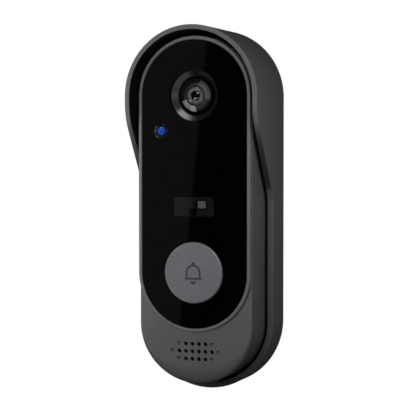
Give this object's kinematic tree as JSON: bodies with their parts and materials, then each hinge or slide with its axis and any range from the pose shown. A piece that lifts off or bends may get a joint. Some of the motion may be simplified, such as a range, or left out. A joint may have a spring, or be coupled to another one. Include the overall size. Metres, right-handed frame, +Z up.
{
  "type": "video doorbell",
  "caption": "Pill-shaped battery video doorbell with a camera, status light, sensor window, round push button and speaker grille, in a hooded wall shell it pulls out of.",
  "frame": {"origin": "centre of the shell's back face, which is the wall plane", "axes": "+Z up, -Y out of the wall towards the visitor, +X to the right seen from the front"},
  "size_m": [0.0554, 0.0337, 0.145],
  "materials": {
    "shell_plastic": "fine satin moulding, dark grey",
    "body_plastic": "fine satin moulding, dark grey",
    "bezel_plastic": "fine satin moulding, dark grey",
    "panel_black": "polished black acrylic",
    "trim_plastic": "satin near-black",
    "grey_plastic": "satin dark grey",
    "black_plastic": "matt black",
    "lens_glass": "polished, coated",
    "status_blue": "polished blue light guide",
    "smoked_window": "polished smoked acrylic",
    "emitter": "satin pale grey",
    "button_plastic": "satin grey",
    "rubber": "matt black silicone",
    "foam": "closed-cell foam",
    "chip": "black epoxy",
    "circuit_board": "green solder mask",
    "cell_wrap": "shrink sleeve",
    "steel": "plain",
    "nickel": "nickel strip",
    "brass": "knurled insert"
  },
  "bodies": {
    "shell": {"rain_shell": "shell_plastic", "clamp_insert": "brass", "clamp_screw": "steel"},
    "unit": {"front_housing": "body_plastic", "bezel_frame": "bezel_plastic", "front_panel": "panel_black", "panel_gasket": "foam", "camera_trim_ring": "trim_plastic", "lens_dome": "lens_glass", "lens_retainer": "grey_plastic", "lens_barrel": "black_plastic", "lens_front_element": "lens_glass", "lens_rear_element": "lens_glass", "lens_holder": "black_plastic", "image_sensor": "chip", "camera_board": "circuit_board", "status_cup": "trim_plastic", "status_light_guide": "status_blue", "status_led": "emitter", "sensor_window": "smoked_window", "sensor_holder": "black_plastic", "infrared_emitter": "emitter", "motion_detector": "chip", "button_switch": "chip", "main_board": "circuit_board", "radio_shield": "steel", "antenna": "brass", "speaker_frame": "chip", "speaker_diaphragm": "black_plastic", "speaker_gasket": "foam", "microphone_boot": "rubber", "microphone": "steel", "battery_cell_left": "cell_wrap", "battery_cell_right": "cell_wrap", "battery_contact_top": "nickel", "battery_contact_bottom": "nickel", "battery_tray": "black_plastic", "power_board": "circuit_board", "charging_port": "steel", "port_flap": "rubber", "reset_switch": "chip", "rear_cover": "black_plastic", "rear_seal": "rubber", "cover_screw_1": "steel", "cover_screw_2": "steel", "cover_screw_3": "steel", "cover_screw_4": "steel"},
    "button": {"button_cap": "button_plastic"},
    "plunger": {"button_plunger": "emitter"},
    "reset_key": {"reset_button": "black_plastic"}
  },
  "joints": [
    {"name": "unit_pull", "type": "slide", "parent": "shell", "child": "unit", "axis": [0, -1, 0], "range_m": [0, 0.032]},
    {"name": "button_press", "type": "slide", "parent": "unit", "child": "button", "axis": [0, 1, 0], "range_m": [0, 0.0006], "stiffness_N_per_m": 1500},
    {"name": "plunger_press", "type": "slide", "parent": "unit", "child": "plunger", "axis": [0, 1, 0], "range_m": [0, 0.0006]},
    {"name": "reset_press", "type": "slide", "parent": "unit", "child": "reset_key", "axis": [0, -1, 0], "range_m": [0, 0.0004], "stiffness_N_per_m": 1500}
  ],
  "couplings": [
    {"joint": "plunger_press", "follows": "button_press", "ratio": 1}
  ]
}
